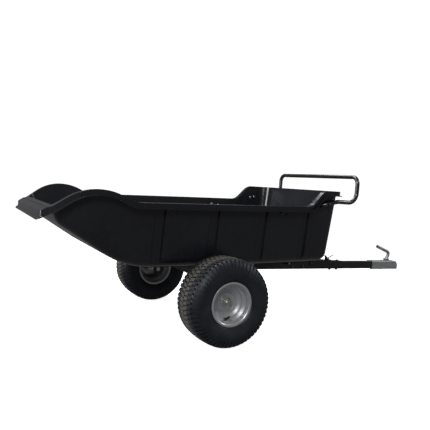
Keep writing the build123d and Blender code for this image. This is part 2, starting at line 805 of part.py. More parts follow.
def coupler_nuts():
    """Nuts on washers under the drawbar."""
    one = Rot(180, 0, 0) * nut(frame_bolt_radius, frame_nut_height)
    return Compound([Pos(x, 0, beam_bottom) * one for x in coupler_bolt_x])


def lever_pin():
    """The headed pin the coupler's lever turns on."""
    length = 2 * (lever_radius + slip + coupler_metal) + 6
    pin = Rot(90, 0, 0) * Cylinder(lever_pin_radius, length)
    head = Pos(0, -length / 2 - 1.5, 0) * Rot(90, 0, 0) * Cylinder(lever_pin_radius + 3, 3)
    return Pos(lever_pin_x, 0, lever_pin_z) * (pin + head)


def coupler_lever():
    """A bent tube lever on a cross hub: it leans forward, then turns back to its tip."""
    path = FilletPolyline((3, 0, 6), (24, 0, 50), (-104, 0, 95), radius=20)
    bar = sweep(path.location_at(0) * Circle(lever_radius), path=path)
    hub = Rot(90, 0, 0) * Cylinder(lever_hub_radius, 2 * lever_radius + slip)
    bore = Rot(90, 0, 0) * Cylinder(lever_pin_radius + running, 4 * lever_radius)
    mouth = path.location_at(1) * Cylinder(lever_radius - lever_metal, 80)
    return Pos(lever_pin_x, 0, lever_pin_z) * (bar + hub - bore - mouth)


def ball_clamp():
    """The jaw behind the ball, hung from its own pin and hollowed to the ball's radius."""
    low = beam_bottom + 2
    jaw_front = ball_x - 12
    corners = [
        (clamp_pin_x - 9, clamp_pin_z + 7, 5),
        (clamp_pin_x + 9, clamp_pin_z + 7, 5),
        (jaw_front, ball_z - 4, 3),
        (jaw_front, low, 3),
        (clamp_pin_x - 2, low, 6),
    ]
    outline = rounded_face(corners, Plane.XZ)
    jaw = extrude(outline, clamp_half, both=True)
    jaw -= Pos(ball_x, 0, ball_z) * Sphere(socket_radius)
    jaw -= Pos(ball_x, 0, ball_z - tube / 2) * Cylinder(socket_radius, tube)
    return jaw - Pos(clamp_pin_x, 0, clamp_pin_z) * Rot(90, 0, 0) * Cylinder(clamp_pin_radius + running, 100)


def clamp_pin():
    """The pin the jaw hangs from."""
    return Pos(clamp_pin_x, 0, clamp_pin_z) * Rot(90, 0, 0) * Cylinder(clamp_pin_radius, 2 * coupler_half + 4)


def clamp_spring():
    """The short coil around the clamp's pin, beside the jaw."""
    wire = 0.9
    path = Helix(pitch=2.4, height=4.8, radius=clamp_pin_radius + 1.6)
    coil = sweep(Plane(path @ 0, z_dir=path % 0) * Circle(wire), path=path, is_frenet=True)
    return Pos(clamp_pin_x, clamp_half + wire + 1.2, clamp_pin_z) * Rot(-90, 0, 0) * coil


# ---------------------------------------------------------------- wheels


def spun(section):
    """A section drawn as (out from the wheel's middle, radius) and turned about the axle."""
    return Rot(0, 0, 90) * revolve(section, Axis.X)


def tyre():
    """A hollow turf tyre: bead, bulged side wall, round shoulder and a flat-crowned tread."""
    bead_radius = rim_bead_radius + slip
    hip_radius = 0.735 * axle_height
    shoulder_radius = 0.9 * axle_height
    tread_metal = tyre_wall + 5

    def half(bead, inset, crown):
        hip = (tyre_width / 2 - inset, hip_radius)
        shoulder = (tread_width / 2 + 4 - inset, shoulder_radius - inset)
        tread_edge = (tread_width / 2 - 12, crown - 4)
        return [
            Line((bead, bead_radius), (bead, rim_flange_radius + 2)),
            ThreePointArc((bead, rim_flange_radius + 2), hip, shoulder),
            ThreePointArc(shoulder, (shoulder[0] - 6, crown - 9), tread_edge),
            ThreePointArc(tread_edge, (tread_width / 4, crown - 1), (0, crown)),
        ]

    seat = rim_width / 2 - rim_metal - slip
    toe = seat - 2 * tyre_wall
    outer = half(seat, 0, axle_height)
    inner = half(toe, tyre_wall, axle_height - tread_metal)
    base = Line((toe, bead_radius), (seat, bead_radius))
    closing = Line((0, axle_height - tread_metal), (0, axle_height))
    section = make_face(Curve() + outer + inner + [base, closing])
    right_half = spun(section)
    return right_half + mirror(right_half, Plane.XZ)


def rim():
    """A stepped barrel with rolled flanges and a dished centre disc bored for the hub."""
    edge = rim_width / 2
    seat = edge - 28
    seat_radius = rim_bead_radius - 2
    well = edge - 42
    metal = rim_metal
    outer = [
        (edge, rim_flange_radius),
        (edge - metal, rim_flange_radius),
        (edge - metal, rim_bead_radius),
        (seat, seat_radius),
        (well, rim_well_radius),
    ]
    inner = [
        (well + 1, rim_well_radius - metal),
        (seat + 1, seat_radius - metal),
        (edge, rim_bead_radius - metal),
    ]
    far_outer = [(-out, radius) for out, radius in reversed(outer)]
    far_inner = [(-out, radius) for out, radius in reversed(inner)]
    barrel = spun(make_face(Polyline(*outer, *far_outer, *far_inner, *inner, close=True)))
    back = disc_offset - 1.5 * metal
    disc = [
        (disc_offset, hub_radius),
        (disc_offset, disc_flat_radius),
        (disc_offset + 8, rim_well_radius - metal),
        (disc_offset + 2, rim_well_radius - metal),
        (back, disc_flat_radius + 2),
        (back, hub_radius),
    ]
    return barrel + spun(make_face(Polyline(*disc, close=True)))


def hub():
    """The hub barrel, counterbored at both ends for its bearings."""
    length, middle = hub_outer - hub_inner, (hub_outer + hub_inner) / 2
    body = Cylinder(hub_radius, length) - Cylinder(bearing_bore_radius + 6, 2 * length)
    for end in (1, -1):
        body -= Pos(0, 0, end * (length - bearing_width) / 2) * Cylinder(bearing_outer_radius, bearing_width)
    return Pos(0, middle, 0) * Rot(90, 0, 0) * body


def bearings():
    """One shielded ball bearing at each end of the hub."""
    ring = Cylinder(bearing_outer_radius, bearing_width) - Cylinder(bearing_bore_radius, 2 * bearing_width)
    groove = Cylinder(bearing_outer_radius - 4, 2) - Cylinder(bearing_bore_radius + 4, 4)
    for end in (1, -1):
        ring -= Pos(0, 0, end * bearing_width / 2) * groove
    ends = (hub_inner + bearing_width / 2, hub_outer - bearing_width / 2)
    return Compound([Pos(0, y, 0) * Rot(90, 0, 0) * ring for y in ends])


def valve():
    """A rubber stem with its cap, standing in from the rim's outer slope."""
    cap_length, flare_length = 9.0, 6.0
    around, lean = 8.0, 32.0
    inward = rim_bead_radius - rim_metal - 15.5
    stem = Pos(0, 0, valve_length / 2) * Cylinder(valve_radius, valve_length)
    cap = Pos(0, 0, valve_length + cap_length / 2) * Cylinder(valve_radius - 1.2, cap_length)
    flare = Pos(0, 0, flare_length / 2) * Cone(valve_radius + 3, valve_radius, flare_length)
    foot = Pos(0, rim_width / 2 - 38, -inward) * Rot(lean - 90, 0, 0)
    return Rot(0, around, 0) * foot * (stem + cap + flare)


wheel_pieces = {"tyre": tyre, "rim": rim, "hub": hub, "bearings": bearings, "valve": valve}
left_and_right = {
    "cradle_rail": cradle_rail,
    "brace": brace,
    "drop_plate": drop_plate_left,
    "stub_axle": stub_axle_left,
}
single_pieces = {
    "tub_shell": tub_shell,
    "cradle_cross_front": cross_front,
    "cradle_cross_mid": lambda: cross_member(cross_mid_x, cross_width, rail_bottom),
    "cradle_cross_rear": lambda: cross_member(cross_rear_x, cross_width, rail_bottom),
    "lock_tongue": lock_tongue,
    "tongue_bolts": tongue_bolts,
    "floor_bolts": floor_bolts,
    "floor_nuts": floor_nuts,
    "pivot_bushes": pivot_bushes,
    "tip_handle": tip_handle,
    "handle_end_plugs": handle_end_plugs,
    "handle_bolts": handle_bolts,
    "side_bolts": side_bolts,
    "wall_nuts": wall_nuts,
    "main_beam": lambda: beam_tube(tube / 2, beam_front, tube, tube_wall),
    "drawbar": lambda: beam_tube(beam_front, drawbar_front, tube, tube_wall),
    "joint_sleeve": joint_sleeve,
    "joint_top_plate": joint_top_plate,
    "joint_cross_bolts": joint_cross_bolts,
    "joint_through_bolts": joint_through_bolts,
    "joint_nuts": joint_nuts,
    "axle_beam": axle_beam,
    "pivot_ears": pivot_ears,
    "pivot_rod": pivot_rod,
    "rod_cotters": rod_cotters,
    "rest_pad": rest_pad,
    "spindle_washers": spindle_washers,
    "spindle_nuts": spindle_nuts,
    "spindle_cotters": spindle_cotters,
    "latch_bracket": latch_bracket,
    "latch_pin": latch_pin,
    "latch_lever": latch_lever,
    "latch_spring": latch_spring,
    "coupler_body": coupler_body,
    "coupler_bolts": coupler_bolts,
    "coupler_nuts": coupler_nuts,
    "coupler_lever": coupler_lever,
    "lever_pin": lever_pin,
    "ball_clamp": ball_clamp,
    "clamp_pin": clamp_pin,
    "clamp_spring": clamp_spring,
}

os.makedirs("parts", exist_ok=True)
for name, make in single_pieces.items():
    save(name, make())
for name, make in left_and_right.items():
    left = make()
    save(f"{name}_left", left)
    save(f"{name}_right", mirror(left, Plane.XZ))
for name, make in wheel_pieces.items():
    left = Pos(0, track / 2, axle_height) * make()
    save(f"{name}_left", left)
    save(f"{name}_right", mirror(left, Plane.XZ))

print("axle at x =", centre_shift, "pivot at", centre_shift + pivot_x, pivot_z)
print("latch at", centre_shift + latch_x, latch_z, "lever at", centre_shift + lever_pin_x, lever_pin_z)
print("clamp at", centre_shift + clamp_pin_x, clamp_pin_z, "ball at", centre_shift + ball_x, ball_z)
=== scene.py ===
# %% [markdown]
# # A tow-behind dump cart
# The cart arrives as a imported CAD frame: every part is already in its place, in metres, with +X forward to
# the hitch and +Z up. This lesson dresses that frame. It gives the moulded tub its satin skin, cuts a turf
# tread into the tyres, spins new wheel rims, and breaks the sharp edges of the steel so that they catch
# light.

# %% Load the frame
import json
import math

import bmesh
import bpy
from mathutils import Matrix, Vector


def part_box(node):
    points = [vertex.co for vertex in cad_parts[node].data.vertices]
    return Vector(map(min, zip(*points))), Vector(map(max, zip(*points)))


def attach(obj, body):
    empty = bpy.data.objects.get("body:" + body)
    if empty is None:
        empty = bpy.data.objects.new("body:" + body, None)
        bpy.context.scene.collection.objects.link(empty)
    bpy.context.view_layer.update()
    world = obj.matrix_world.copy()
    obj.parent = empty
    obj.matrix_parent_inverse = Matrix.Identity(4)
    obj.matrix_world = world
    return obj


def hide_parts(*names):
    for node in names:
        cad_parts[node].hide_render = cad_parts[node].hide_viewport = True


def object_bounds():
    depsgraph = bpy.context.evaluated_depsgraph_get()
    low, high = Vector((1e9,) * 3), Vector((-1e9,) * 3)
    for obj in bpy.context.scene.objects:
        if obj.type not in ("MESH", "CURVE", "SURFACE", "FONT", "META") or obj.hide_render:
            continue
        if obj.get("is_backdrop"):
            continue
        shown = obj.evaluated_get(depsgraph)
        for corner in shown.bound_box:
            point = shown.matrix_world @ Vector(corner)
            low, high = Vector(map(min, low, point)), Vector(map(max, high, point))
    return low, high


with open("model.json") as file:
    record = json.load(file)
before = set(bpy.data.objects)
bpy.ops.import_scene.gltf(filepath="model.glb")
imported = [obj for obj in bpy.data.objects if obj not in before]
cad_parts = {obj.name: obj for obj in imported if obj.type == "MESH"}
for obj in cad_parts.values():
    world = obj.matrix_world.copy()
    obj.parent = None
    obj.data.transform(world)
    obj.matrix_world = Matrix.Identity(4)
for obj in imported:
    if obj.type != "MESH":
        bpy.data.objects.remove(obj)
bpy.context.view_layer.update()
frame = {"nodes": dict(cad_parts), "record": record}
record = frame["record"]
slot_of = {part["node"]: part["material_slot"] for part in record["subparts"]}
body_of = {node: body for body, nodes in record["behaviour"]["bodies"].items() for node in nodes}

# %% [markdown]
# ## The camera
# The cart is seen from low behind its right wheel, from about 3.3 m away. A camera looks down its own -Z,
# so its three axes are worked out from a heading, a slight dip and a small roll, and become the columns of
# its matrix. The lens is a short telephoto, which keeps the wheel from bulging.

# %% Camera
CAMERA_PLACE = Vector((-1.7152, -2.7708, 0.8028))
HEADING, DIP, ROLL = (math.radians(a) for a in (27.951, 3.078, 4.374))
LENS_MM, SENSOR_MM = 42.5, 36.0


def camera_matrix():
    """The camera's place and axes from its heading, dip and roll."""
    level_reach = math.cos(DIP)
    ahead = Vector((math.sin(HEADING) * level_reach, math.cos(HEADING) * level_reach, -math.sin(DIP)))
    level = Vector((math.cos(HEADING), -math.sin(HEADING), 0))
    upright = level.cross(ahead)
    right = math.cos(ROLL) * level + math.sin(ROLL) * upright
    up = math.cos(ROLL) * upright - math.sin(ROLL) * level
    turn = Matrix((right, up, -ahead)).transposed()
    return Matrix.Translation(CAMERA_PLACE) @ turn.to_4x4()


camera = bpy.data.objects.new("camera", bpy.data.cameras.new("camera"))
camera.data.lens = LENS_MM
camera.data.sensor_width = SENSOR_MM
camera.matrix_world = camera_matrix()
bpy.context.scene.collection.objects.link(camera)
bpy.context.scene.camera = camera
print("camera at", tuple(round(c, 3) for c in CAMERA_PLACE))

# %% [markdown]
# ## Studio
# Black plastic shows its shape only by what it reflects, so the light comes from broad soft boxes: a large
# one overhead that draws the rim's upper edges, a tall one beyond the pour lip, a small one high in front,
# and one on the camera's side. The cart stands in a wide pale bowl that curves up all round it, so that no
# view has a horizon. The bowl glows a little by itself and stays out of the cart's reflections, which keeps
# the plastic black between its highlights. The Standard view transform keeps white paper white.

# %% Floor and backdrop
FLOOR_RADIUS, SWEEP_RADIUS, SWEEP_STEPS, BOWL_HEIGHT = 9.0, 4.0, 12, 16.0
BOWL_TURNS = 96


def backdrop_mesh():
    """A bowl: a flat round floor, a quarter turn, then a tall wall."""
    profile = []
    for i in range(SWEEP_STEPS + 1):
        angle = math.pi / 2 * i / SWEEP_STEPS
        profile.append((FLOOR_RADIUS + SWEEP_RADIUS * math.sin(angle), SWEEP_RADIUS * (1 - math.cos(angle))))
    profile.append((FLOOR_RADIUS + SWEEP_RADIUS, BOWL_HEIGHT))
    points, faces = [], [tuple(range(BOWL_TURNS))]
    for radius, height in profile:
        for i in range(BOWL_TURNS):
            angle = 2 * math.pi * i / BOWL_TURNS
            points.append((radius * math.cos(angle), radius * math.sin(angle), height))
    for ring in range(len(profile) - 1):
        for i in range(BOWL_TURNS):
            j = (i + 1) % BOWL_TURNS
            low, high = ring * BOWL_TURNS, (ring + 1) * BOWL_TURNS
            faces.append((low + j, low + i, high + i, high + j))
    mesh = bpy.data.meshes.new("backdrop")
    mesh.from_pydata(points, [], faces)
    return mesh


backdrop = bpy.data.objects.new("backdrop", backdrop_mesh())
bpy.context.scene.collection.objects.link(backdrop)
for face in backdrop.data.polygons:
    face.use_smooth = True
backdrop.visible_diffuse = False
backdrop.visible_glossy = False
backdrop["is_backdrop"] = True
bpy.context.scene.view_settings.view_transform = "Standard"
print("backdrop faces:", len(backdrop.data.polygons))

# %% Lights
WORLD_STRENGTH = 0.14
SOFT_BOXES = (
    ("overhead", (-0.4, 0.9, 3.4), (0.0, 0.0, 0.4), (3.6, 2.2), 150.0),
    ("tall_rear", (-4.0, 0.6, 1.6), (-0.8, 0.0, 0.5), (1.4, 2.4), 110.0),
    ("front_high", (3.4, -1.6, 2.6), (0.3, 0.0, 0.5), (1.2, 1.2), 40.0),
    ("camera_side", (-2.9, -3.4, 2.6), (-0.5, -0.4, 0.2), (1.6, 1.2), 85.0),
)


def soft_box(name, place, target, size, watts):
    """A rectangular area light at a place, turned to a target."""
    data = bpy.data.lights.new(name, "AREA")
    data.shape = "RECTANGLE"
    data.size, data.size_y = size
    data.energy = watts
    light = bpy.data.objects.new(name, data)
    aim = (Vector(target) - Vector(place)).to_track_quat("-Z", "Y")
    light.matrix_world = Matrix.Translation(place) @ aim.to_matrix().to_4x4()
    bpy.context.scene.collection.objects.link(light)


for settings in SOFT_BOXES:
    soft_box(*settings)
world = bpy.data.worlds.new("studio")
world.use_nodes = True
world.node_tree.nodes["Background"].inputs["Color"].default_value = (1.0, 1.0, 1.0, 1.0)
world.node_tree.nodes["Background"].inputs["Strength"].default_value = WORLD_STRENGTH
bpy.context.scene.world = world
print("soft boxes:", len(SOFT_BOXES))

# %% [markdown]
# ## A small kit for finishes
# Each finish below is a recipe of the same few steps: a noise, a pair of colours that the noise mixes, a
# roughness that follows another noise, and a bump. All patterns read Object coordinates, which are metres
# here, so a scale of 500 is a 2 mm grain.


# %% Shader helpers
MIX_FIRST, MIX_SECOND, MIX_RESULT = 6, 7, 2


class Finish:
    """A material under construction, with its Principled shader and its Object coordinates."""

    def __init__(self, name, metallic=0.0, specular=0.5, coat=0.0, coat_roughness=0.1):
        self.material = bpy.data.materials.new(name)
        self.material.use_nodes = True
        self.nodes = self.material.node_tree.nodes
        self.links = self.material.node_tree.links
        self.shader = self.nodes["Principled BSDF"]
        self.shader.inputs["Metallic"].default_value = metallic
        self.shader.inputs["Specular IOR Level"].default_value = specular
        self.shader.inputs["Coat Weight"].default_value = coat
        self.shader.inputs["Coat Roughness"].default_value = coat_roughness
        self.place = self.nodes.new("ShaderNodeTexCoord").outputs["Object"]

    def noise(self, scale, detail=3.0, roughness=0.5, stretch=None):
        """A noise's factor, drawn out along an axis if stretch is given."""
        texture = self.nodes.new("ShaderNodeTexNoise")
        texture.inputs["Scale"].default_value = scale
        texture.inputs["Detail"].default_value = detail
        texture.inputs["Roughness"].default_value = roughness
        source = self.place
        if stretch:
            mapping = self.nodes.new("ShaderNodeMapping")
            mapping.inputs["Scale"].default_value = stretch
            self.links.new(source, mapping.inputs["Vector"])
            source = mapping.outputs["Vector"]
        self.links.new(source, texture.inputs["Vector"])
        return texture.outputs["Fac"]

    def cells(self, scale):
        """A Voronoi pattern's distance, for spangle and speckle."""
        texture = self.nodes.new("ShaderNodeTexVoronoi")
        texture.inputs["Scale"].default_value = scale
        self.links.new(self.place, texture.inputs["Vector"])
        return texture.outputs["Distance"]

    def steps(self, factor, *stops):
        """A colour ramp through (position, colour) stops."""
        ramp = self.nodes.new("ShaderNodeValToRGB")
        elements = ramp.color_ramp.elements
        while len(elements) < len(stops):
            elements.new(0.5)
        for element, (position, colour) in zip(elements, stops):
            element.position = position
            element.color = (*colour, 1.0)
        self.links.new(factor, ramp.inputs["Fac"])
        return ramp.outputs["Color"]

    def blend(self, factor, first, second):
        """Mixes two colour sockets by a factor socket."""
        mix = self.nodes.new("ShaderNodeMix")
        mix.data_type = "RGBA"
        self.links.new(factor, mix.inputs["Factor"])
        self.links.new(first, mix.inputs[MIX_FIRST])
        self.links.new(second, mix.inputs[MIX_SECOND])
        return mix.outputs[MIX_RESULT]

    def scaled(self, factor, low, high, start=0.3, end=0.7):
        """A factor's middle stretch turned into a number between low and high."""
        node = self.nodes.new("ShaderNodeMapRange")
        node.inputs["From Min"].default_value = start
        node.inputs["From Max"].default_value = end
        node.inputs["To Min"].default_value = low
        node.inputs["To Max"].default_value = high
        self.links.new(factor, node.inputs["Value"])
        return node.outputs["Result"]

    def maths(self, operation, first, second=None):
        """One maths step on sockets or plain numbers."""
        node = self.nodes.new("ShaderNodeMath")
        node.operation = operation
        for socket, value in zip(node.inputs, (first, second)):
            if isinstance(value, (int, float)):
                socket.default_value = value
            elif value is not None:
                self.links.new(value, socket)
        return node.outputs["Value"]

    def split(self, offset=(0.0, 0.0, 0.0)):
        """X, Y and Z of the place, measured from an offset."""
        mapping = self.nodes.new("ShaderNodeMapping")
        mapping.inputs["Location"].default_value = [-c for c in offset]
        parts = self.nodes.new("ShaderNodeSeparateXYZ")
        self.links.new(self.place, mapping.inputs["Vector"])
        self.links.new(mapping.outputs["Vector"], parts.inputs["Vector"])
        return parts.outputs

    def bump(self, *layers):
        """Stacked bumps, each (height socket, strength, distance in metres)."""
        normal = None
        for height, strength, distance in layers:
            node = self.nodes.new("ShaderNodeBump")
            node.inputs["Strength"].default_value = strength
            node.inputs["Distance"].default_value = distance
            self.links.new(height, node.inputs["Height"])
            if normal:
                self.links.new(normal, node.inputs["Normal"])
            normal = node.outputs["Normal"]
        self.links.new(normal, self.shader.inputs["Normal"])

    def done(self, colour, roughness):
        """Connects colour and roughness, and returns the material."""
        self.links.new(colour, self.shader.inputs["Base Color"])
        self.links.new(roughness, self.shader.inputs["Roughness"])
        print("finish:", self.material.name, "nodes:", len(self.nodes))
        return self.material


# %% [markdown]
# ## Studio paper
# The floor is seamless paper. It is pale and glows a little, and a faint mottling keeps it from being
# perfectly even.

# %% Paper
PAPER_GLOW = 0.90
paper = Finish("studio_paper", specular=0.1)
paper.shader.inputs["Emission Color"].default_value = (1.0, 1.0, 1.0, 1.0)
paper.shader.inputs["Emission Strength"].default_value = PAPER_GLOW
mottle = paper.noise(1.5)
backdrop.data.materials.append(paper.done(
    paper.steps(mottle, (0.3, (0.93, 0.93, 0.93)), (0.7, (0.96, 0.96, 0.96))),
    paper.scaled(mottle, 0.85, 0.95),
))

# %% [markdown]
# ## Moulded black plastic
# The tub is rotationally moulded polyethylene. Its skin is satin and not quite flat: a long wave from
# cooling shows in the reflections, and a fine grain breaks the highlight up. Handling leaves patches a
# little duller, and a trace of dust greys it here and there.


# %% Tub finish
def tub_finish():
    """Satin black polyethylene with a slow waviness, a fine grain and a trace of dust."""
    skin = Finish("moulded_tub_plastic", specular=0.5)
    patches = skin.noise(3.5, detail=4.0)
    dust = skin.noise(38.0, detail=6.0, roughness=0.65)
    clean = skin.steps(patches, (0.3, (0.0065, 0.007, 0.0095)), (0.7, (0.011, 0.012, 0.0155)))
    dusty = skin.steps(dust, (0.35, (0.011, 0.012, 0.0145)), (0.75, (0.022, 0.0235, 0.027)))
    colour = skin.blend(skin.scaled(dust, 0.0, 0.55, 0.5, 0.8), clean, dusty)
    grain = skin.noise(900.0, detail=2.0)
    wave = skin.noise(5.0, detail=1.0)
    scuffs = skin.noise(60.0, detail=5.0, stretch=(0.25, 1.0, 2.5))
    skin.bump((wave, 0.30, 0.010), (scuffs, 0.06, 0.001), (grain, 0.10, 0.0004))
    return skin.done(colour, skin.scaled(patches, 0.15, 0.25))


# %% [markdown]
# ## Painted and coated steel
# Powder coat has an orange-peel surface of about a millimetre. The frame's coat is semi-gloss, and the
# handle's is glossier, with a clear upper skin. The wheel rims are sprayed silver-grey, where fine metal
# flakes glint.


# %% Paint finishes
def coat_finish(name, tint, gloss, coat):
    """Black powder coat: orange peel, faint rub marks and dust."""
    paint = Finish(name, specular=0.5, coat=coat, coat_roughness=0.12)
    rubs = paint.noise(24.0, detail=5.0, roughness=0.6)
    dark = [0.7 * c for c in tint]
    colour = paint.steps(rubs, (0.35, dark), (0.6, tint), (0.8, [1.9 * c for c in tint]))
    peel = paint.noise(650.0, detail=1.0)
    paint.bump((rubs, 0.05, 0.001), (peel, 0.16, 0.0005))
    return paint.done(colour, paint.scaled(rubs, gloss, gloss + 0.14))


def rim_finish():
    """Silver-grey sprayed steel with flakes and a little road grime."""
    paint = Finish("rim_silver_paint", metallic=0.55, specular=0.5, coat=0.25, coat_roughness=0.18)
    flakes = paint.cells(2600.0)
    grime = paint.noise(30.0, detail=6.0, roughness=0.65)
    bright = paint.steps(flakes, (0.0, (0.60, 0.61, 0.625)), (0.6, (0.46, 0.47, 0.485)))
    dull = paint.steps(grime, (0.3, (0.38, 0.385, 0.39)), (0.7, (0.25, 0.252, 0.255)))
    colour = paint.blend(paint.scaled(grime, 0.0, 0.5, 0.52, 0.78), bright, dull)
    paint.bump((grime, 0.05, 0.0008), (flakes, 0.10, 0.0002))
    return paint.done(colour, paint.scaled(grime, 0.30, 0.44))


# %% [markdown]
# ## Zinc, galvanising and bare steel
# Small fasteners are bright zinc. The coupler and its lever are dull galvanised steel, whose crystals show
# as a spangle a few millimetres across. Pins and axles are turned, so their marks run round them, and a
# noise squeezed along one axis draws those marks.


# %% Metal finishes
def zinc_finish():
    """Bright zinc plate with slight clouding."""
    metal = Finish("bright_zinc_plate", metallic=1.0)
    clouds = metal.noise(140.0, detail=4.0)
    colour = metal.steps(clouds, (0.3, (0.56, 0.56, 0.54)), (0.7, (0.76, 0.76, 0.73)))
    metal.bump((clouds, 0.08, 0.0004))
    return metal.done(colour, metal.scaled(clouds, 0.22, 0.40))


def blackened_finish():
    """Black finished bolts, worn a little brighter in places."""
    metal = Finish("blackened_steel", metallic=0.8)
    wear = metal.noise(180.0, detail=4.0)
    metal.bump((wear, 0.08, 0.0004))
    return metal.done(metal.steps(wear, (0.4, (0.035, 0.035, 0.037)), (0.75, (0.14, 0.14, 0.14))),
                      metal.scaled(wear, 0.30, 0.48))


def galvanised_finish():
    """Galvanised steel: a spangle of grey crystals, dulled in patches."""
    metal = Finish("galvanised_coupler_steel", metallic=0.75)
    spangle = metal.cells(210.0)
    haze = metal.noise(45.0, detail=5.0)
    crystals = metal.steps(spangle, (0.0, (0.50, 0.51, 0.53)), (0.7, (0.33, 0.34, 0.355)))
    white = metal.steps(haze, (0.3, (0.40, 0.41, 0.42)), (0.7, (0.60, 0.61, 0.62)))
    metal.bump((spangle, 0.08, 0.0004), (haze, 0.12, 0.0008))
    return metal.done(metal.blend(haze, crystals, white), metal.scaled(haze, 0.34, 0.52))


def turned_finish(name, colour_low, colour_high, rough):
    """Turned or drawn steel, with marks that run round the cart's Y axis."""
    metal = Finish(name, metallic=1.0)
    marks = metal.noise(90.0, detail=3.0, stretch=(0.4, 14.0, 0.4))
    metal.bump((marks, 0.12, 0.0003))
    colour = metal.steps(marks, (0.3, colour_low), (0.7, colour_high))
    return metal.done(colour, metal.scaled(marks, rough, rough + 0.15))


# %% [markdown]
# ## Rubber and nylon
# The tyre has two faces: a smooth, slightly blue-black side wall with faint mould rings, and a tread that
# is worn dull and browned by soil. Which one a point shows depends on its distance from the axle and on its
# distance from the wheel's middle, so the recipe measures both from each wheel's own centre. Below the
# block tops, the grooves and block sides keep the darker side wall colour. That is partly unworn rubber and
# partly painted shade in the recesses.

# %% Wheel centres
WHEEL_SIDES = ("left", "right")


def wheel_centre(side):
    """The middle of one wheel, from its tyre's box."""
    low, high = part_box(f"tyre_{side}")
    return (low + high) / 2


for side in WHEEL_SIDES:
    print(side, "wheel centre", tuple(round(c, 4) for c in wheel_centre(side)))


# %% Rubber finishes
MOULD_RING_PITCH = 0.0035
# The tread colour fades in between these radii. Below them the grooves and block sides keep the darker wall
# colour, partly as painted shade.
TOP_START, TOP_FULL = 0.2232, 0.2258
SOILED_HALF, CLEAN_HALF = 0.034, 0.052


def tyre_finish(side):
    """Side wall rubber that turns to dusty tread rubber on the block tops near the crown, with painted shade
    in the grooves.
    """
    rubber = Finish(f"tyre_rubber_{side}", specular=0.35)
    x, y, z = rubber.split(wheel_centre(side))
    square = rubber.maths("ADD", rubber.maths("MULTIPLY", x, x), rubber.maths("MULTIPLY", z, z))
    radius = rubber.maths("SQRT", square)
    bloom = rubber.noise(16.0, detail=5.0)
    soil = rubber.noise(75.0, detail=6.0, roughness=0.7)
    wall = rubber.steps(bloom, (0.3, (0.010, 0.0115, 0.017)), (0.7, (0.019, 0.022, 0.030)))
    tread = rubber.steps(soil, (0.3, (0.060, 0.057, 0.053)), (0.7, (0.150, 0.140, 0.126)))
    # This radius mask leaves the grooves and block sides in the dark wall colour: unworn rubber, and partly
    # painted shade.
    top = rubber.scaled(radius, 0.0, 1.0, TOP_START, TOP_FULL)
    crown = rubber.scaled(rubber.maths("ABSOLUTE", y), 1.0, 0.12, SOILED_HALF, CLEAN_HALF)
    tread_wear_and_groove_shade = rubber.maths("MULTIPLY", top, crown)
    rings = rubber.maths("SINE", rubber.maths("MULTIPLY", radius, 2 * math.pi / MOULD_RING_PITCH))
    rubber.bump((rings, 0.06, 0.0005), (soil, 0.20, 0.0008))
    rough = rubber.maths("ADD", rubber.scaled(bloom, 0.40, 0.52), rubber.maths("MULTIPLY", tread_wear_and_groove_shade, 0.28))
    return rubber.done(rubber.blend(tread_wear_and_groove_shade, wall, tread), rough)


def plain_black_finish(name, low, high, rough):
    """Plain black rubber or nylon with a soft mottling."""
    stuff = Finish(name, specular=0.4)
    mottling = stuff.noise(120.0, detail=4.0)
    stuff.bump((mottling, 0.15, 0.0005))
    colour = stuff.steps(mottling, (0.3, (low,) * 3), (0.7, (high,) * 3))
    return stuff.done(colour, stuff.scaled(mottling, rough, rough + 0.12))


# %% The finishes by material slot
finishes = {
    "tub_plastic": tub_finish(),
    "frame_paint": coat_finish("frame_powder_coat", (0.011, 0.011, 0.0125), 0.30, 0.0),
    "blackened_steel": blackened_finish(),
    "handle_paint": coat_finish("handle_gloss_coat", (0.0085, 0.0085, 0.010), 0.20, 0.6),
    "rim_paint": rim_finish(),
    "black_rubber": plain_black_finish("black_rubber", 0.010, 0.020, 0.50),
    "zinc_plate": zinc_finish(),
    "galvanised_steel": galvanised_finish(),
    "bright_steel": turned_finish("turned_steel", (0.42, 0.42, 0.41), (0.66, 0.66, 0.64), 0.24),
    "spring_wire": turned_finish("spring_wire", (0.30, 0.30, 0.30), (0.50, 0.50, 0.49), 0.30),
    "black_nylon": plain_black_finish("black_nylon", 0.012, 0.024, 0.42),
}
tyre_finishes = {side: tyre_finish(side) for side in WHEEL_SIDES}
print("finishes ready:", len(finishes) + len(tyre_finishes))

# %% [markdown]
# ## Softened CAD parts
# A CAD mesh has perfectly sharp edges, and its curves are shaded facet by facet. Real steel and plastic
# have a small radius on every edge, and that radius is what draws the bright line. So each part is copied,
# its loose triangles are merged, flat areas are joined into single faces, and a Bevel modifier rounds the
# edges. A Weighted Normal modifier then lets the large faces set the shading, which keeps the tub's flat
# floor flat.

# %% Softened copies
MERGE_DISTANCE = 4e-6
FLAT_ANGLE = math.radians(0.5)
EDGE_ANGLE = math.radians(32)
AREA_WEIGHT = 50


def merged_copy(node):
    """The node's triangles as one connected mesh, with its flat areas joined."""
    work = bmesh.new()
    work.from_mesh(frame["nodes"][node].data)
    bmesh.ops.remove_doubles(work, verts=work.verts, dist=MERGE_DISTANCE)
    bmesh.ops.dissolve_limit(work, angle_limit=FLAT_ANGLE, verts=work.verts, edges=work.edges)
    mesh = bpy.data.meshes.new(f"{node}_soft")
    work.to_mesh(mesh)
    work.free()
    mesh.materials.clear()
    return mesh


def baked(piece):
    """A piece's mesh with its modifiers applied, as plain data."""
    evaluated = piece.evaluated_get(bpy.context.evaluated_depsgraph_get())
    return bpy.data.meshes.new_from_object(evaluated)


def place(mesh, name, body, slot, material, *replaced):
    """Makes an object of a finished mesh, hangs it on its body and hides the CAD parts that it replaces."""
    piece = bpy.data.objects.new(name, mesh)
    bpy.context.scene.collection.objects.link(piece)
    mesh.materials.clear()
    mesh.materials.append(material)
    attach(piece, body)
    if replaced:
        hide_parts(*replaced)
    return piece


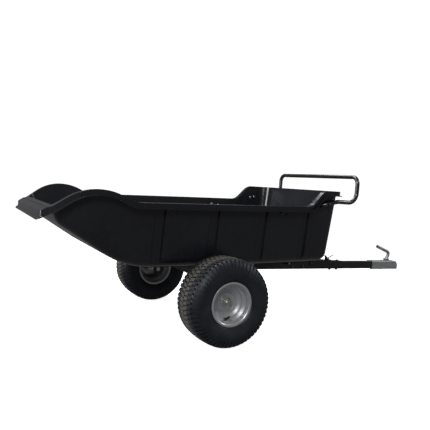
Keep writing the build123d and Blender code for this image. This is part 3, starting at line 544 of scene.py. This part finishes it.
def soften(node, radius, segments=2):
    """Replaces a CAD node by a copy with rounded edges and smooth curves."""
    draft = bpy.data.objects.new(f"{node}_draft", merged_copy(node))
    bpy.context.scene.collection.objects.link(draft)
    for face in draft.data.polygons:
        face.use_smooth = True
    if radius:
        bevel = draft.modifiers.new("edge", "BEVEL")
        bevel.width = radius
        bevel.segments = segments
        bevel.limit_method = "ANGLE"
        bevel.angle_limit = EDGE_ANGLE
        bevel.harden_normals = True
        flats = draft.modifiers.new("flats", "WEIGHTED_NORMAL")
        flats.mode = "FACE_AREA"
        flats.weight = AREA_WEIGHT
    mesh = baked(draft)
    bpy.data.objects.remove(draft)
    slot = slot_of[node]
    piece = place(mesh, f"{node}_finished", body_of[node], slot, finishes[slot], node)
    print(f"{node}: {len(mesh.polygons)} faces")
    return piece


# %% Which radius goes on which part
EDGE_RADIUS = {"tub_shell": 0.0022}
SLOT_RADIUS = {
    "frame_paint": 0.0009,
    "galvanised_steel": 0.0008,
    "zinc_plate": 0.0004,
    "black_rubber": 0.0006,
    "bright_steel": 0.0005,
    "black_nylon": 0.0005,
    "rim_paint": 0.0006,
}
REBUILT = ("tyre", "rim", "latch_spring", "clamp_spring")
for node in sorted(frame["nodes"]):
    if not node.startswith(REBUILT):
        soften(node, EDGE_RADIUS.get(node, SLOT_RADIUS.get(slot_of[node], 0.0)))

# %% [markdown]
# ## Lathe work
# A tyre carcass and a rim are both turned shapes: a closed outline, swept once round the axle. The outline
# is a list of (distance out from the wheel's middle, radius) points. A helper draws a smooth curve through
# the points where the shape is round, and another joins neighbouring turns with faces.


# %% Lathe helpers
def smooth_line(points, steps):
    """A Catmull-Rom curve through points, with so many steps a span."""
    padded = [points[0], *points, points[-1]]
    line = []
    for before, start, end, after in zip(padded, padded[1:], padded[2:], padded[3:]):
        for i in range(steps):
            t = i / steps
            line.append(tuple(
                0.5 * (2 * b + (c - a) * t
                       + (2 * a - 5 * b + 4 * c - d) * t**2 + (3 * b - a - 3 * c + d) * t**3)
                for a, b, c, d in zip(before, start, end, after)
            ))
    return line + [points[-1]]


def eased(points, radius, steps=3):
    """A closed outline with each corner replaced by a short curve of about that radius."""
    result = []
    for i, corner in enumerate(points):
        corner = Vector(corner)
        back = Vector(points[i - 1]) - corner
        ahead = Vector(points[(i + 1) % len(points)]) - corner
        start = corner + back.normalized() * min(radius, 0.4 * back.length)
        end = corner + ahead.normalized() * min(radius, 0.4 * ahead.length)
        for k in range(steps + 1):
            t = k / steps
            result.append(tuple(start * (1 - t) ** 2 + corner * 2 * t * (1 - t) + end * t**2))
    return result


def turned(outline, centre, out, turns):
    """A closed outline swept round the axle; out is +1 or -1 for the wheel's outer side."""
    work = bmesh.new()
    rings = []
    for k in range(turns):
        angle = 2 * math.pi * k / turns
        along, up = math.sin(angle), math.cos(angle)
        rings.append([
            work.verts.new((centre.x + r * along, centre.y + out * w, centre.z + r * up)) for w, r in outline
        ])
    for ring, following in zip(rings, rings[1:] + rings[:1]):
        for i in range(len(outline)):
            j = (i + 1) % len(outline)
            work.faces.new((ring[i], ring[j], following[j], following[i])).smooth = True
    bmesh.ops.recalc_face_normals(work, faces=work.faces)
    mesh = bpy.data.meshes.new("turned")
    work.to_mesh(mesh)
    work.free()
    return mesh


# %% [markdown]
# ## The wheel rim
# The rim is a stepped steel barrel: a rolled flange, the bead seat, a short slope and the deep well, with a
# dished disc welded inside it. The steps are what catch the light as bright rings, so the outline keeps
# every one of them, eased by a small radius.

# %% Rim
RIM_EDGE, RIM_FLANGE, RIM_BEAD, RIM_WELL, RIM_METAL = 0.091, 0.1145, 0.1013, 0.086, 0.003
DISC_OUT, DISC_FLAT, HUB_RADIUS = 0.027, 0.072, 0.031
RIM_TURNS = 120


def barrel_outline():
    """Half the barrel's outer skin, mirrored, then its inner skin back again."""
    flange_top = RIM_FLANGE - 0.0005
    outer = [(RIM_EDGE, flange_top), (RIM_EDGE - RIM_METAL, flange_top), (RIM_EDGE - RIM_METAL, RIM_BEAD),
             (0.063, RIM_BEAD - 0.002), (0.058, RIM_BEAD - 0.0075), (0.049, RIM_WELL)]
    inner = [(0.050, RIM_WELL - RIM_METAL), (0.0585, RIM_BEAD - 0.0105), (0.064, RIM_BEAD - 0.005),
             (0.078, RIM_BEAD - 0.0045), (0.080, RIM_BEAD - 0.0025), (RIM_EDGE - 0.0045, RIM_BEAD - 0.002),
             (RIM_EDGE, RIM_BEAD + 0.003)]
    mirrored_outer = [(-w, r) for w, r in reversed(outer)]
    mirrored_inner = [(-w, r) for w, r in reversed(inner)]
    return eased([*outer, *mirrored_outer, *mirrored_inner, *inner], 0.0014)


def disc_outline():
    """The dished disc: a flat middle, a raised ring and a turned edge against the well."""
    face = [(DISC_OUT, HUB_RADIUS), (DISC_OUT, 0.047), (DISC_OUT - 0.0035, 0.052), (DISC_OUT - 0.0035, 0.066),
            (DISC_OUT, DISC_FLAT), (DISC_OUT + 0.007, 0.0815), (DISC_OUT + 0.008, RIM_WELL - RIM_METAL)]
    back = [(DISC_OUT + 0.003, RIM_WELL - RIM_METAL), (DISC_OUT - 0.003, DISC_FLAT + 0.001),
            (DISC_OUT - 0.0075, 0.064), (DISC_OUT - 0.0075, 0.050), (DISC_OUT - 0.0045, HUB_RADIUS)]
    return eased(face + back, 0.0012)


def joined(name, *meshes):
    """Several meshes as one."""
    work = bmesh.new()
    for mesh in meshes:
        work.from_mesh(mesh)
    result = bpy.data.meshes.new(name)
    work.to_mesh(result)
    work.free()
    return result


for side, out in zip(WHEEL_SIDES, (1, -1)):
    centre = wheel_centre(side)
    barrel = turned(barrel_outline(), centre, out, RIM_TURNS)
    disc = turned(disc_outline(), centre, out, RIM_TURNS)
    mesh = joined(f"rim_{side}", barrel, disc)
    place(mesh, f"rim_{side}_spun", f"wheel_{side}", "rim_paint", finishes["rim_paint"], f"rim_{side}")
    print(f"rim {side}: {len(mesh.polygons)} faces")

# %% [markdown]
# ## The tyre's carcass
# The carcass is the tyre without its tread. It is turned like the rim, from bead to bead, and its crown
# lies lower than the tread's top by the depth of the grooves. Just above the rim's flange the side wall
# steps out past the rim's edge.

# %% Carcass
TREAD_TOP, GROOVE_DEPTH = 0.2284, 0.0075
TYRE_TURNS = 144
SIDE_WALL = (
    (0.0868, 0.1165), (0.0925, 0.1225), (0.0955, 0.1235), (0.0975, 0.1290),
    (0.1035, 0.1450), (0.1075, 0.1650), (0.1040, 0.1830), (0.0995, 0.1925),
    (0.0945, 0.2010), (0.0870, 0.2085), (0.0770, 0.2150), (0.0450, 0.2195),
    (0.0000, TREAD_TOP - GROOVE_DEPTH),
)
LINER = (
    (0.0000, 0.2130), (0.0700, 0.2050), (0.0920, 0.1830),
    (0.0960, 0.1600), (0.0860, 0.1330), (0.0705, 0.1200),
)
BEAD_FOOT = ((0.0705, 0.1018), (0.0868, 0.1018))


def carcass_outline():
    """Bead foot, side wall, crown, the other side wall, and back along the liner."""
    outside = smooth_line(SIDE_WALL, 4)
    inside = smooth_line(LINER, 3)
    near = [*BEAD_FOOT, *outside]
    far_side = [(-w, r) for w, r in reversed(near[:-1])]
    liner_back = [(-w, r) for w, r in reversed(inside[1:])]
    return [*near, *far_side, *liner_back, *inside]


carcass_meshes = {side: turned(carcass_outline(), wheel_centre(side), out, TYRE_TURNS)
                  for side, out in zip(WHEEL_SIDES, (1, -1))}
print("carcass faces:", len(carcass_meshes["left"].polygons))

# %% [markdown]
# ## The turf tread
# A turf tyre has rows of low, notched blocks that are wider than they are long and stand off the grass
# without cutting it, and on each shoulder a row of curved lugs that run down into the side wall. The
# pattern repeats many times round the wheel, so one pitch of it is modelled here, and Geometry
# Nodes carry it round in the next step.

# %% One pitch of tread
PITCHES = 58
PITCH = 2 * math.pi / PITCHES
ROWS = (-0.0585, -0.0195, 0.0195, 0.0585)
ROW_HALF, BLOCK_HALF = 0.0165, 0.37 * PITCH
CHAMFER, BLOCK_FLARE, BLOCK_SINK = 0.0012, 0.0006, 0.002
ROW_SLANT = 0.12 * PITCH
NOTCH_DEPTH, NOTCH_HALF = 0.12, 0.2
CROWN_HALF, CROWN_DROP, CROWN_POWER = 0.078, 0.0040, 2.4


def crown_radius(across):
    """The tread's top radius at a distance from the wheel's middle."""
    return TREAD_TOP - CROWN_DROP * (abs(across) / CROWN_HALF) ** CROWN_POWER


def add_prism(work, bottom, middle, top):
    """Closes three matching rings of points into one chamfered block."""
    rings = [[work.verts.new(p) for p in ring] for ring in (bottom, middle, top)]
    count = len(bottom)
    for lower, upper in zip(rings, rings[1:]):
        for i in range(count):
            j = (i + 1) % count
            work.faces.new((lower[i], lower[j], upper[j], upper[i]))
    work.faces.new(rings[2])
    work.faces.new(list(reversed(rings[0])))


def on_wheel(angle, across, radius):
    """A point given by its angle round the axle, its distance out and its radius."""
    return (radius * math.sin(angle), across, radius * math.cos(angle))


def add_block(work, middle_angle, row, half_width):
    """One notched block of a row, slanted one way left of the crown and the other way right of it."""
    lean = ROW_SLANT * (1 if row >= 0 else -1)
    near_side = [(-1, -1), (-NOTCH_HALF, -1), (0, -1 + NOTCH_DEPTH), (NOTCH_HALF, -1), (1, -1)]
    footprint = near_side + [(-u, -v) for u, v in near_side]

    def ring(shrink, drop):
        return [
            on_wheel(
                middle_angle + u * (BLOCK_HALF - shrink / TREAD_TOP) + lean * v,
                row + v * (half_width - shrink),
                crown_radius(row + v * half_width) - drop,
            )
            for u, v in footprint
        ]

    add_prism(work, ring(-BLOCK_FLARE, GROOVE_DEPTH + BLOCK_SINK), ring(0, CHAMFER), ring(CHAMFER, 0))


# %% Shoulder lugs
LUG_PATH = (
    (0.0770, 0.2240), (0.0850, 0.2205), (0.0925, 0.2140), (0.0985, 0.2060),
    (0.1030, 0.1975), (0.1058, 0.1890), (0.1072, 0.1800), (0.1078, 0.1710),
)
LUG_HALF, LUG_TAPER, LUG_TOP_SHARE = 0.32, 0.06, 0.86
LUG_SINK, LUG_SINK_FADE = 0.0085, 0.003
LUG_SWING, LUG_SWING_POWER = 0.55, 1.5
SHOULDER_HEART = Vector((0.045, 0.160))


def add_lug(work, middle_angle, out):
    """A curved bar over the shoulder, tall at the tread and fading into the side wall."""
    stations = len(LUG_PATH)
    rings = []
    for i, (w, r) in enumerate(LUG_PATH):
        fade = i / (stations - 1)
        half = PITCH * (LUG_HALF - LUG_TAPER * fade)
        swing = -LUG_SWING * PITCH * fade**LUG_SWING_POWER
        top = Vector((w, r))
        outward = (top - SHOULDER_HEART).normalized()
        foot = top - outward * (LUG_SINK - LUG_SINK_FADE * fade)
        top_half = half * LUG_TOP_SHARE
        corners = [(-half, foot), (-top_half, top), (top_half, top), (half, foot)]
        rings.append([work.verts.new(on_wheel(middle_angle + swing + a, out * p.x, p.y)) for a, p in corners])
    for near, far_ring in zip(rings, rings[1:]):
        for i in range(4):
            j = (i + 1) % 4
            work.faces.new((near[i], near[j], far_ring[j], far_ring[i]))
    work.faces.new(rings[0])
    work.faces.new(list(reversed(rings[-1])))


def pitch_mesh():
    """All the blocks and lugs of one pitch, centred on the axle."""
    work = bmesh.new()
    for i, row in enumerate(ROWS):
        add_block(work, 0.5 * PITCH * (i % 2), row, ROW_HALF)
    for out in (1, -1):
        add_lug(work, 0.5 * PITCH, out)
    bmesh.ops.recalc_face_normals(work, faces=work.faces)
    mesh = bpy.data.meshes.new("tread_pitch")
    work.to_mesh(mesh)
    work.free()
    return mesh


pitch = bpy.data.objects.new("tread_pitch", pitch_mesh())
print("one pitch:", len(pitch.data.polygons), "faces")

# %% [markdown]
# ## Geometry Nodes: carry a piece round the axle
# The tree makes as many points as there are pitches, all on the axle, and turns a copy of the pitch on each
# one by its share of the full circle. Realize Instances makes the copies real faces, because an export
# keeps no instances. The count, the object, the centre and the material are inputs, so the same tree could
# repeat anything round any wheel.


# %% The tree
def round_axle_tree():
    """A node tree that repeats an object round the Y axis at a centre."""
    tree = bpy.data.node_groups.new("repeat_round_axle", "GeometryNodeTree")
    for name, kind in (("Piece", "NodeSocketObject"), ("Count", "NodeSocketInt"),
                       ("Centre", "NodeSocketVector"), ("Material", "NodeSocketMaterial")):
        tree.interface.new_socket(name, in_out="INPUT", socket_type=kind)
    tree.interface.new_socket("Geometry", in_out="OUTPUT", socket_type="NodeSocketGeometry")
    nodes, links = tree.nodes, tree.links
    given = nodes.new("NodeGroupInput")
    points = nodes.new("GeometryNodePoints")
    source = nodes.new("GeometryNodeObjectInfo")
    copies = nodes.new("GeometryNodeInstanceOnPoints")
    index = nodes.new("GeometryNodeInputIndex")
    share = nodes.new("ShaderNodeMath")
    share.operation = "DIVIDE"
    angle = nodes.new("ShaderNodeMath")
    angle.operation = "MULTIPLY"
    angle.inputs[1].default_value = 2 * math.pi
    axis = nodes.new("ShaderNodeCombineXYZ")
    turn = nodes.new("FunctionNodeEulerToRotation")
    move = nodes.new("GeometryNodeTransform")
    real = nodes.new("GeometryNodeRealizeInstances")
    paint = nodes.new("GeometryNodeSetMaterial")
    result = nodes.new("NodeGroupOutput")
    for start, end in (
        (given.outputs["Count"], points.inputs["Count"]),
        (given.outputs["Piece"], source.inputs["Object"]),
        (points.outputs["Points"], copies.inputs["Points"]),
        (source.outputs["Geometry"], copies.inputs["Instance"]),
        (index.outputs["Index"], share.inputs[0]),
        (given.outputs["Count"], share.inputs[1]),
        (share.outputs["Value"], angle.inputs[0]),
        (angle.outputs["Value"], axis.inputs["Y"]),
        (axis.outputs["Vector"], turn.inputs["Euler"]),
        (turn.outputs["Rotation"], copies.inputs["Rotation"]),
        (copies.outputs["Instances"], move.inputs["Geometry"]),
        (given.outputs["Centre"], move.inputs["Translation"]),
        (move.outputs["Geometry"], real.inputs["Geometry"]),
        (real.outputs["Geometry"], paint.inputs["Geometry"]),
        (given.outputs["Material"], paint.inputs["Material"]),
        (paint.outputs["Geometry"], result.inputs["Geometry"]),
    ):
        links.new(start, end)
    return tree


def grown(tree, name, **values):
    """The plain mesh that a tree makes when its inputs, found by name, are set on an empty object."""
    seed = bpy.data.objects.new(name, bpy.data.meshes.new(name))
    bpy.context.scene.collection.objects.link(seed)
    modifier = seed.modifiers.new("grow", "NODES")
    modifier.node_group = tree
    for socket in tree.interface.items_tree:
        if socket.in_out == "INPUT":
            modifier[socket.identifier] = values[socket.name.replace(" ", "_")]
    mesh = baked(seed)
    seed.modifiers.clear()
    bpy.data.objects.remove(seed)
    return mesh


# %% Tyres
tread_tree = round_axle_tree()
bpy.context.scene.collection.objects.link(pitch)
for side in WHEEL_SIDES:
    rubber = tyre_finishes[side]
    centre = wheel_centre(side)
    tread = grown(tread_tree, f"tread_{side}", Piece=pitch, Count=PITCHES, Centre=centre, Material=rubber)
    place(tread, f"tyre_tread_{side}", f"wheel_{side}", "tyre_rubber", rubber, f"tyre_{side}")
    carcass = carcass_meshes[side]
    place(carcass, f"tyre_carcass_{side}", f"wheel_{side}", "tyre_rubber", rubber, f"tyre_{side}")
    print(f"tread {side}: {len(tread.polygons)} faces")
bpy.data.objects.remove(pitch)

# %% [markdown]
# ## Geometry Nodes: wound springs
# A torsion coil is wire that follows a helix. The tree draws the helix with a Spiral curve, sweeps a small
# circle along it and caps the ends. Turns, radius, length and wire size are inputs, which the two springs
# on the cart share.


# %% Springs
def coil_tree():
    """A node tree that winds a wire into a coil along Z."""
    tree = bpy.data.node_groups.new("wound_coil", "GeometryNodeTree")
    for name, kind in (("Turns", "NodeSocketFloat"), ("Radius", "NodeSocketFloat"),
                       ("Length", "NodeSocketFloat"), ("Wire", "NodeSocketFloat"),
                       ("Material", "NodeSocketMaterial")):
        tree.interface.new_socket(name, in_out="INPUT", socket_type=kind)
    tree.interface.new_socket("Geometry", in_out="OUTPUT", socket_type="NodeSocketGeometry")
    nodes, links = tree.nodes, tree.links
    given = nodes.new("NodeGroupInput")
    helix = nodes.new("GeometryNodeCurveSpiral")
    helix.inputs["Resolution"].default_value = 24
    section = nodes.new("GeometryNodeCurvePrimitiveCircle")
    section.inputs["Resolution"].default_value = 10
    sweep = nodes.new("GeometryNodeCurveToMesh")
    sweep.inputs["Fill Caps"].default_value = True
    real = nodes.new("GeometryNodeRealizeInstances")
    paint = nodes.new("GeometryNodeSetMaterial")
    result = nodes.new("NodeGroupOutput")
    for start, end in (
        (given.outputs["Turns"], helix.inputs["Rotations"]),
        (given.outputs["Radius"], helix.inputs["Start Radius"]),
        (given.outputs["Radius"], helix.inputs["End Radius"]),
        (given.outputs["Length"], helix.inputs["Height"]),
        (given.outputs["Wire"], section.inputs["Radius"]),
        (helix.outputs["Curve"], sweep.inputs["Curve"]),
        (section.outputs["Curve"], sweep.inputs["Profile Curve"]),
        (sweep.outputs["Mesh"], real.inputs["Geometry"]),
        (real.outputs["Geometry"], paint.inputs["Geometry"]),
        (given.outputs["Material"], paint.inputs["Material"]),
        (paint.outputs["Geometry"], result.inputs["Geometry"]),
    ):
        links.new(start, end)
    return tree


COIL_WIRE, COIL_PITCH = 0.0008, 0.0022
coil = coil_tree()
for node in ("latch_spring", "clamp_spring"):
    low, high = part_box(node)
    middle = (low + high) / 2
    length = high.y - low.y - 2 * COIL_WIRE
    wire = grown(coil, node, Turns=length / COIL_PITCH, Radius=(high.x - low.x) / 2 - COIL_WIRE,
                 Length=length, Wire=COIL_WIRE, Material=finishes["spring_wire"])
    start = Matrix.Translation((middle.x, middle.y + length / 2, middle.z))
    wire.transform(start @ Matrix.Rotation(math.pi / 2, 4, "X"))
    for face in wire.polygons:
        face.use_smooth = True
    place(wire, f"{node}_wound", body_of[node], "spring_wire", finishes["spring_wire"], node)
    print(f"{node}: {len(wire.polygons)} faces")

# %% Finish
bpy.context.view_layer.update()
low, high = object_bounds()
print("visual :", [[round(v, 4) for v in c] for c in (low, high)])
